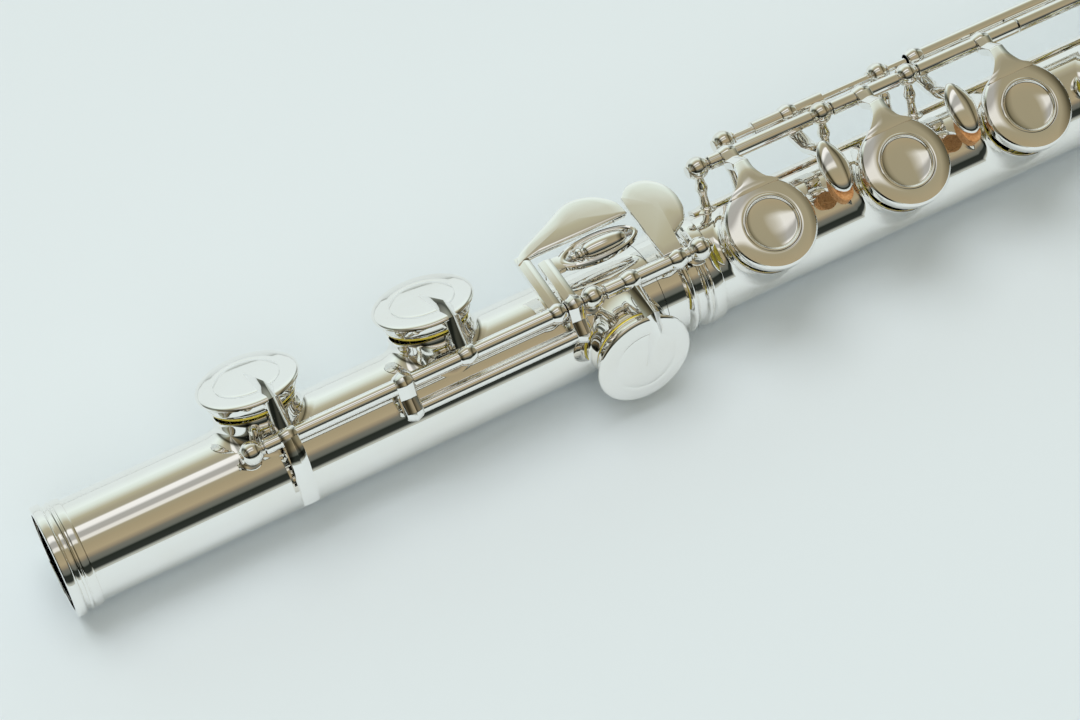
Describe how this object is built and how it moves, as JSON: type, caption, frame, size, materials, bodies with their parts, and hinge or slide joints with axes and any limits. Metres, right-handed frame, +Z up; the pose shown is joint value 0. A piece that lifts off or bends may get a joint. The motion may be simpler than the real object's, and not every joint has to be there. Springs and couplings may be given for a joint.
{
  "type": "concert flute",
  "caption": "Transverse concert flute in three joints: keyed tube with closed cups, foot with little-finger roller, head with lip plate and screw-set stopper.",
  "frame": {"origin": "bottom centre of the bounding box, on the table the flute lies on", "axes": "+X along the tube from the foot end to the crown, +Y the player's side where the rods run, +Z up; the flute lies rolled 25 degrees from keys straight up, at rest on its rings and thumb key"},
  "size_m": [0.67, 0.0422, 0.0314],
  "materials": {
    "silver_tube": "mirror polished silver plate",
    "silver_keys": "mirror polished silver plate",
    "silver_posts": "mirror polished silver plate",
    "steel": "drawn steel rod",
    "pad_skin": "yellow skin over felt, satin",
    "cork": "matt natural cork"
  },
  "bodies": {
    "body": {"body_tube": "silver_tube", "barrel": "silver_tube", "lower_rib": "silver_posts", "upper_rib": "silver_posts", "gsharp_rib": "silver_posts", "right_hand_steel": "steel", "left_hand_steel": "steel", "g_steel": "steel", "gsharp_steel": "steel", "thumb_steel": "steel"},
    "foot_joint": {"foot_tube": "silver_tube", "foot_end_ring": "silver_tube", "foot_receiver": "silver_tube", "foot_post_1": "silver_posts", "foot_post_2": "silver_posts", "foot_post_3": "silver_posts", "foot_steel": "steel"},
    "head_joint": {"head_tube": "silver_tube", "lip_plate": "silver_tube", "embouchure_riser": "silver_tube"},
    "crown": {"crown": "silver_tube"},
    "stopper": {"cork_screw": "steel", "head_cork": "cork", "cork_nut": "steel"},
    "low_c_key": {"c_key": "silver_keys", "c_pad": "pad_skin", "roller_axle": "steel"},
    "c_roller": {"c_roller": "silver_keys"},
    "low_csharp_key": {"csharp_key": "silver_keys", "csharp_pad": "pad_skin"},
    "dsharp_key": {"dsharp_key": "silver_keys", "dsharp_pad": "pad_skin"},
    "d_key": {"d_key": "silver_keys", "d_pad": "pad_skin"},
    "e_key": {"e_key": "silver_keys", "e_pad": "pad_skin"},
    "f_key": {"f_key": "silver_keys", "f_pad": "pad_skin"},
    "fsharp_key": {"fsharp_key": "silver_keys", "fsharp_pad": "pad_skin"},
    "g_key": {"g_key": "silver_keys", "g_lower_pad": "pad_skin", "g_upper_pad": "pad_skin"},
    "gsharp_key": {"gsharp_key": "silver_keys", "gsharp_pad": "pad_skin"},
    "a_key": {"a_key": "silver_keys", "a_pad": "pad_skin"},
    "bflat_key": {"bflat_key": "silver_keys", "bflat_pad": "pad_skin"},
    "thumb_b_key": {"thumb_b_key": "silver_keys", "thumb_b_pad": "pad_skin"},
    "thumb_bflat_lever": {"thumb_bflat_lever": "silver_keys"},
    "csharp_vent_key": {"csharp_vent_key": "silver_keys", "csharp_vent_pad": "pad_skin"},
    "d_trill_key": {"d_trill_key": "silver_keys", "d_trill_pad": "pad_skin", "d_trill_cork": "cork"},
    "dsharp_trill_key": {"dsharp_trill_key": "silver_keys", "dsharp_trill_pad": "pad_skin", "dsharp_trill_cork": "cork"}
  },
  "joints": [
    {"name": "head_joint_pull", "type": "slide", "parent": "body", "child": "head_joint", "axis": [1, 0, 0], "range_m": [-0.004, 0.04]},
    {"name": "foot_joint_turn", "type": "hinge", "parent": "body", "child": "foot_joint", "pos_m": [-0.206, -0.0029, 0.01086], "axis": [1, 0, 0], "range_deg": [-20, 20]},
    {"name": "crown_turn", "type": "hinge", "parent": "head_joint", "child": "crown", "pos_m": [0.327, -0.0029, 0.01086], "axis": [1, 0, 0], "range_deg": [-720, 720]},
    {"name": "stopper_slide", "type": "slide", "parent": "head_joint", "child": "stopper", "axis": [1, 0, 0], "range_m": [-0.0017, 0.0017]},
    {"name": "low_c_key_press", "type": "hinge", "parent": "foot_joint", "child": "low_c_key", "pos_m": [-0.275, -0.00824, 0.02401], "axis": [-1, 0, 0], "range_deg": [0, 8], "stiffness_Nm_per_rad": 0.02, "springref_deg": -17.19},
    {"name": "low_csharp_key_press", "type": "hinge", "parent": "foot_joint", "child": "low_csharp_key", "pos_m": [-0.249, -0.00824, 0.02401], "axis": [-1, 0, 0], "range_deg": [0, 8], "stiffness_Nm_per_rad": 0.02, "springref_deg": -17.19},
    {"name": "dsharp_key_press", "type": "hinge", "parent": "foot_joint", "child": "dsharp_key", "pos_m": [-0.215, -0.00824, 0.02401], "axis": [-1, 0, 0], "range_deg": [0, 9], "stiffness_Nm_per_rad": 0.02, "springref_deg": -17.19},
    {"name": "c_roller_spin", "type": "hinge", "parent": "low_c_key", "child": "c_roller", "pos_m": [-0.22, 0.00136, 0.02453], "axis": [1, 0, 0], "continuous": true},
    {"name": "d_key_press", "type": "hinge", "parent": "body", "child": "d_key", "pos_m": [-0.181, 0.00668, 0.02746], "axis": [1, 0, 0], "range_deg": [0, 6.5], "stiffness_Nm_per_rad": 0.02, "springref_deg": -17.19},
    {"name": "e_key_press", "type": "hinge", "parent": "body", "child": "e_key", "pos_m": [-0.157, 0.00668, 0.02746], "axis": [1, 0, 0], "range_deg": [0, 6.5], "stiffness_Nm_per_rad": 0.02, "springref_deg": -17.19},
    {"name": "f_key_press", "type": "hinge", "parent": "body", "child": "f_key", "pos_m": [-0.133, 0.00668, 0.02746], "axis": [1, 0, 0], "range_deg": [0, 6.5], "stiffness_Nm_per_rad": 0.02, "springref_deg": -17.19},
    {"name": "fsharp_key_press", "type": "hinge", "parent": "body", "child": "fsharp_key", "pos_m": [-0.108, 0.00668, 0.02746], "axis": [1, 0, 0], "range_deg": [0, 6.5], "stiffness_Nm_per_rad": 0.02, "springref_deg": -17.19},
    {"name": "a_key_press", "type": "hinge", "parent": "body", "child": "a_key", "pos_m": [-0.032, 0.00668, 0.02746], "axis": [1, 0, 0], "range_deg": [0, 6.5], "stiffness_Nm_per_rad": 0.02, "springref_deg": -17.19},
    {"name": "bflat_key_press", "type": "hinge", "parent": "body", "child": "bflat_key", "pos_m": [-0.011, 0.00668, 0.02746], "axis": [1, 0, 0], "range_deg": [0, 6.5], "stiffness_Nm_per_rad": 0.02, "springref_deg": -17.19},
    {"name": "csharp_vent_key_press", "type": "hinge", "parent": "body", "child": "csharp_vent_key", "pos_m": [0.021, 0.00668, 0.02746], "axis": [1, 0, 0], "range_deg": [0, 6.5], "stiffness_Nm_per_rad": 0.02, "springref_deg": -17.19},
    {"name": "g_key_press", "type": "hinge", "parent": "body", "child": "g_key", "pos_m": [-0.067, 0.00279, 0.02918], "axis": [1, 0, 0], "range_deg": [0, 6.5], "stiffness_Nm_per_rad": 0.02, "springref_deg": -17.19},
    {"name": "gsharp_key_press", "type": "hinge", "parent": "body", "child": "gsharp_key", "pos_m": [-0.068, 0.01229, 0.00278], "axis": [-1, 0, 0], "range_deg": [0, 8], "stiffness_Nm_per_rad": 0.02, "springref_deg": -17.19},
    {"name": "thumb_b_key_press", "type": "hinge", "parent": "body", "child": "thumb_b_key", "pos_m": [0.003, 0.01192, 0.01959], "axis": [-1, 0, 0], "range_deg": [0, 9], "stiffness_Nm_per_rad": 0.02, "springref_deg": -17.19},
    {"name": "thumb_bflat_lever_press", "type": "hinge", "parent": "body", "child": "thumb_bflat_lever", "pos_m": [-0.019, 0.01192, 0.01959], "axis": [-1, 0, 0], "range_deg": [0, 9], "stiffness_Nm_per_rad": 0.02, "springref_deg": -17.19},
    {"name": "d_trill_key_press", "type": "hinge", "parent": "body", "child": "d_trill_key", "pos_m": [-0.045, 0.01081, 0.02619], "axis": [1, 0, 0], "range_deg": [0, 8], "stiffness_Nm_per_rad": 0.02, "springref_deg": -17.19},
    {"name": "dsharp_trill_key_press", "type": "hinge", "parent": "body", "child": "dsharp_trill_key", "pos_m": [-0.055, 0.01081, 0.02619], "axis": [1, 0, 0], "range_deg": [0, 8], "stiffness_Nm_per_rad": 0.02, "springref_deg": -17.19}
  ],
  "couplings": [
    {"joint": "stopper_slide", "follows": "crown_turn", "m_per_rad": 0.00012732},
    {"joint": "fsharp_key_press", "follows": "f_key_press", "ratio": 1},
    {"joint": "bflat_key_press", "follows": "a_key_press", "ratio": 1}
  ]
}
